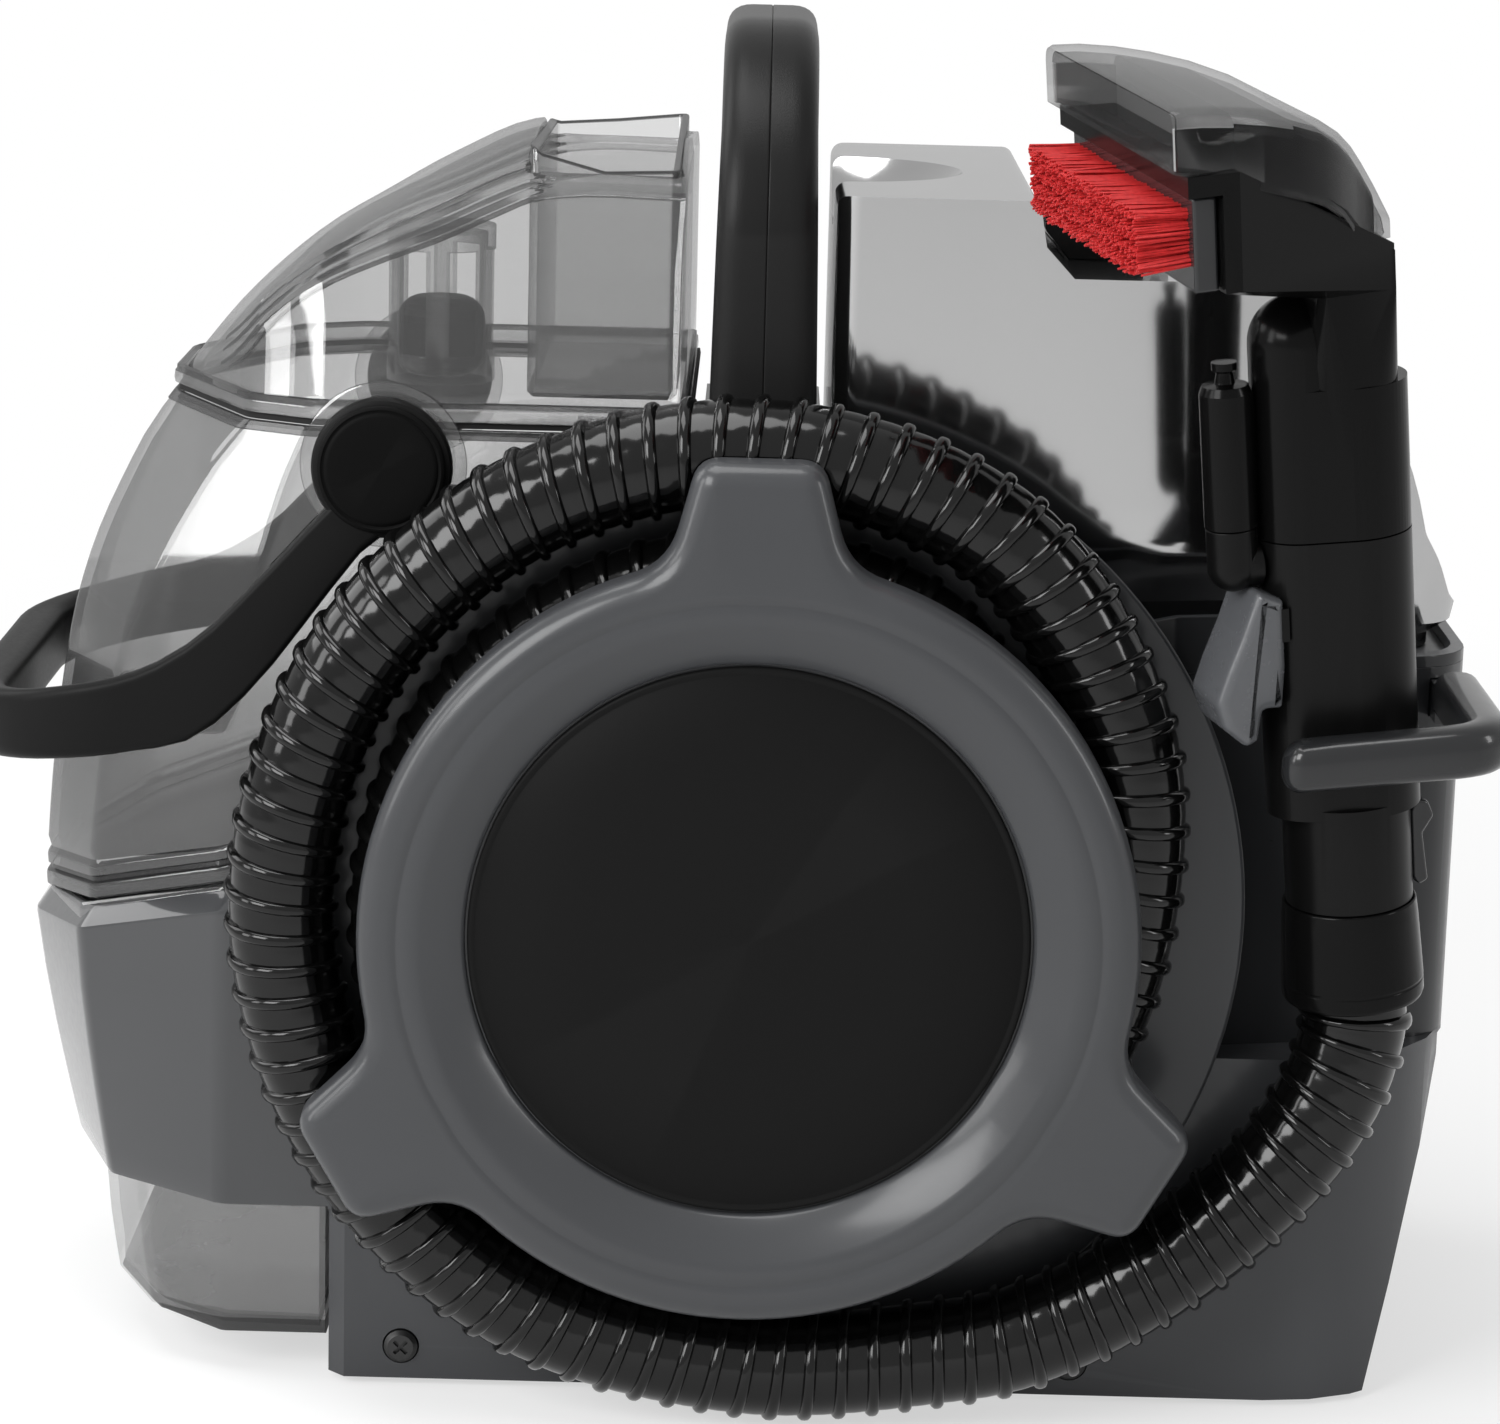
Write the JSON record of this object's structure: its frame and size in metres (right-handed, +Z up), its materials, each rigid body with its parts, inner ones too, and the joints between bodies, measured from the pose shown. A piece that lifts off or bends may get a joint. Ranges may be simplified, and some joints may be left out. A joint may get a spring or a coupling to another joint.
{
  "type": "portable spot extractor",
  "caption": "Portable spot extractor: lift-off clear recovery and clean tanks, side hub with wound ribbed hose, clipped wand with brush tool, carry handle, motor, fan and pump inside.",
  "frame": {"origin": "on the floor, under the middle of the whole machine", "axes": "+X towards the wand end, +Y away from the hose hub side, +Z up"},
  "size_m": [0.376, 0.2519, 0.339],
  "materials": {
    "grey_housing": "satin",
    "dark_plastic": "satin",
    "black_matte": "fine texture",
    "black_gloss": "gloss",
    "hose_black": "gloss",
    "clear_tank": "clear",
    "smoke_tank": "clear smoke",
    "grey_clip": "satin",
    "red_bristle": "bristle",
    "rubber": "matte",
    "steel": "machined",
    "winding": "wound copper",
    "alloy": "cast",
    "pump": "satin",
    "line": "milky"
  },
  "bodies": {
    "base": {"base_housing": "grey_housing", "base_deck": "grey_housing", "base_shoulder": "grey_housing", "base_upper": "grey_housing", "base_plate": "dark_plastic", "rubber_feet": "rubber", "screws": "steel", "collar": "grey_housing", "handle_left": "black_matte", "handle_right": "black_matte", "hose_flange": "grey_housing", "hose_hub": "dark_plastic", "ring_cover": "grey_housing", "ring_disc": "black_matte", "hose_port": "dark_plastic", "hose": "hose_black", "motor_can": "steel", "bearings": "steel", "fan_housing": "dark_plastic", "motor_mount": "rubber", "pump_body": "pump", "pump_tubes": "line", "valve_seat": "dark_plastic", "suction_duct": "dark_plastic", "inlet_gasket": "rubber", "vacuum_duct": "dark_plastic", "cord_gland": "rubber", "exhaust_grille": "dark_plastic", "hook_fixed": "grey_housing", "cuff": "black_gloss", "wand_handle": "black_gloss", "wand_spigot": "dark_plastic", "wand_elbow": "black_gloss", "wand_hook": "grey_clip", "trigger_pin": "steel", "wand_clip": "grey_clip"},
    "rotor": {"motor_rotor": "winding", "impeller": "alloy"},
    "rocker": {"power_switch": "black_matte"},
    "hook": {"hook_swivel": "grey_housing"},
    "recovery_tank": {"tank_bucket": "clear_tank", "tank_gasket": "rubber", "inlet_tower": "clear_tank"},
    "lid": {"tank_lid": "clear_tank", "lid_spout": "clear_tank", "float_cage": "clear_tank"},
    "float": {"float_ball": "black_matte"},
    "bail": {"bail": "black_matte", "pivot_caps": "black_matte"},
    "clean_tank": {"clean_tank": "smoke_tank", "cap_pin": "steel", "outlet_valve": "dark_plastic"},
    "cap": {"fill_cap": "black_gloss"},
    "poppet": {"valve_poppet": "steel"},
    "trigger": {"trigger": "grey_clip"},
    "tool": {"tool_body": "black_gloss", "tool_window": "clear_tank", "brush_block": "grey_clip", "bristles": "red_bristle", "spray_tube": "black_gloss"}
  },
  "joints": [
    {"name": "rotor_spin", "type": "hinge", "parent": "base", "child": "rotor", "pos_m": [0.07, 0.03995, 0.08], "axis": [0, 0, 1], "continuous": true},
    {"name": "switch_rock", "type": "hinge", "parent": "base", "child": "rocker", "pos_m": [0.06, 0.11195, 0.15], "axis": [1, 0, 0], "range_deg": [-8, 8]},
    {"name": "hook_turn", "type": "hinge", "parent": "base", "child": "hook", "pos_m": [-0.05, 0.12195, 0.11], "axis": [0, 1, 0], "range_deg": [0, 180]},
    {"name": "recovery_tank_lift", "type": "slide", "parent": "base", "child": "recovery_tank", "axis": [0, 0, 1], "range_m": [0, 0.15]},
    {"name": "lid_lift", "type": "slide", "parent": "recovery_tank", "child": "lid", "axis": [0, 0, 1], "range_m": [0, 0.06]},
    {"name": "float_rise", "type": "slide", "parent": "lid", "child": "float", "axis": [0, 0, 1], "range_m": [0, 0.014]},
    {"name": "bail_swing", "type": "hinge", "parent": "recovery_tank", "child": "bail", "pos_m": [-0.081, 0.04045, 0.233], "axis": [0, -1, 0], "range_deg": [-115, 0]},
    {"name": "clean_tank_lift", "type": "slide", "parent": "base", "child": "clean_tank", "axis": [0, 0, 1], "range_m": [0, 0.12]},
    {"name": "cap_flip", "type": "hinge", "parent": "clean_tank", "child": "cap", "pos_m": [0.106, 0.03995, 0.2855], "axis": [0, 1, 0], "range_deg": [0, 100]},
    {"name": "poppet_press", "type": "slide", "parent": "clean_tank", "child": "poppet", "axis": [0, 0, -1], "range_m": [-0.003, 0], "stiffness_N_per_m": 400, "springref_m": 0.002},
    {"name": "trigger_squeeze", "type": "hinge", "parent": "base", "child": "trigger", "pos_m": [0.12658, -0.06383, 0.20714], "axis": [0.2576, -0.9645, -0.0588], "range_deg": [0, 5], "stiffness_Nm_per_rad": 0.5, "springref_deg": -5.73},
    {"name": "tool_pull", "type": "slide", "parent": "base", "child": "tool", "axis": [-0.0985, -0.0867, 0.9914], "range_m": [0, 0.06]}
  ]
}
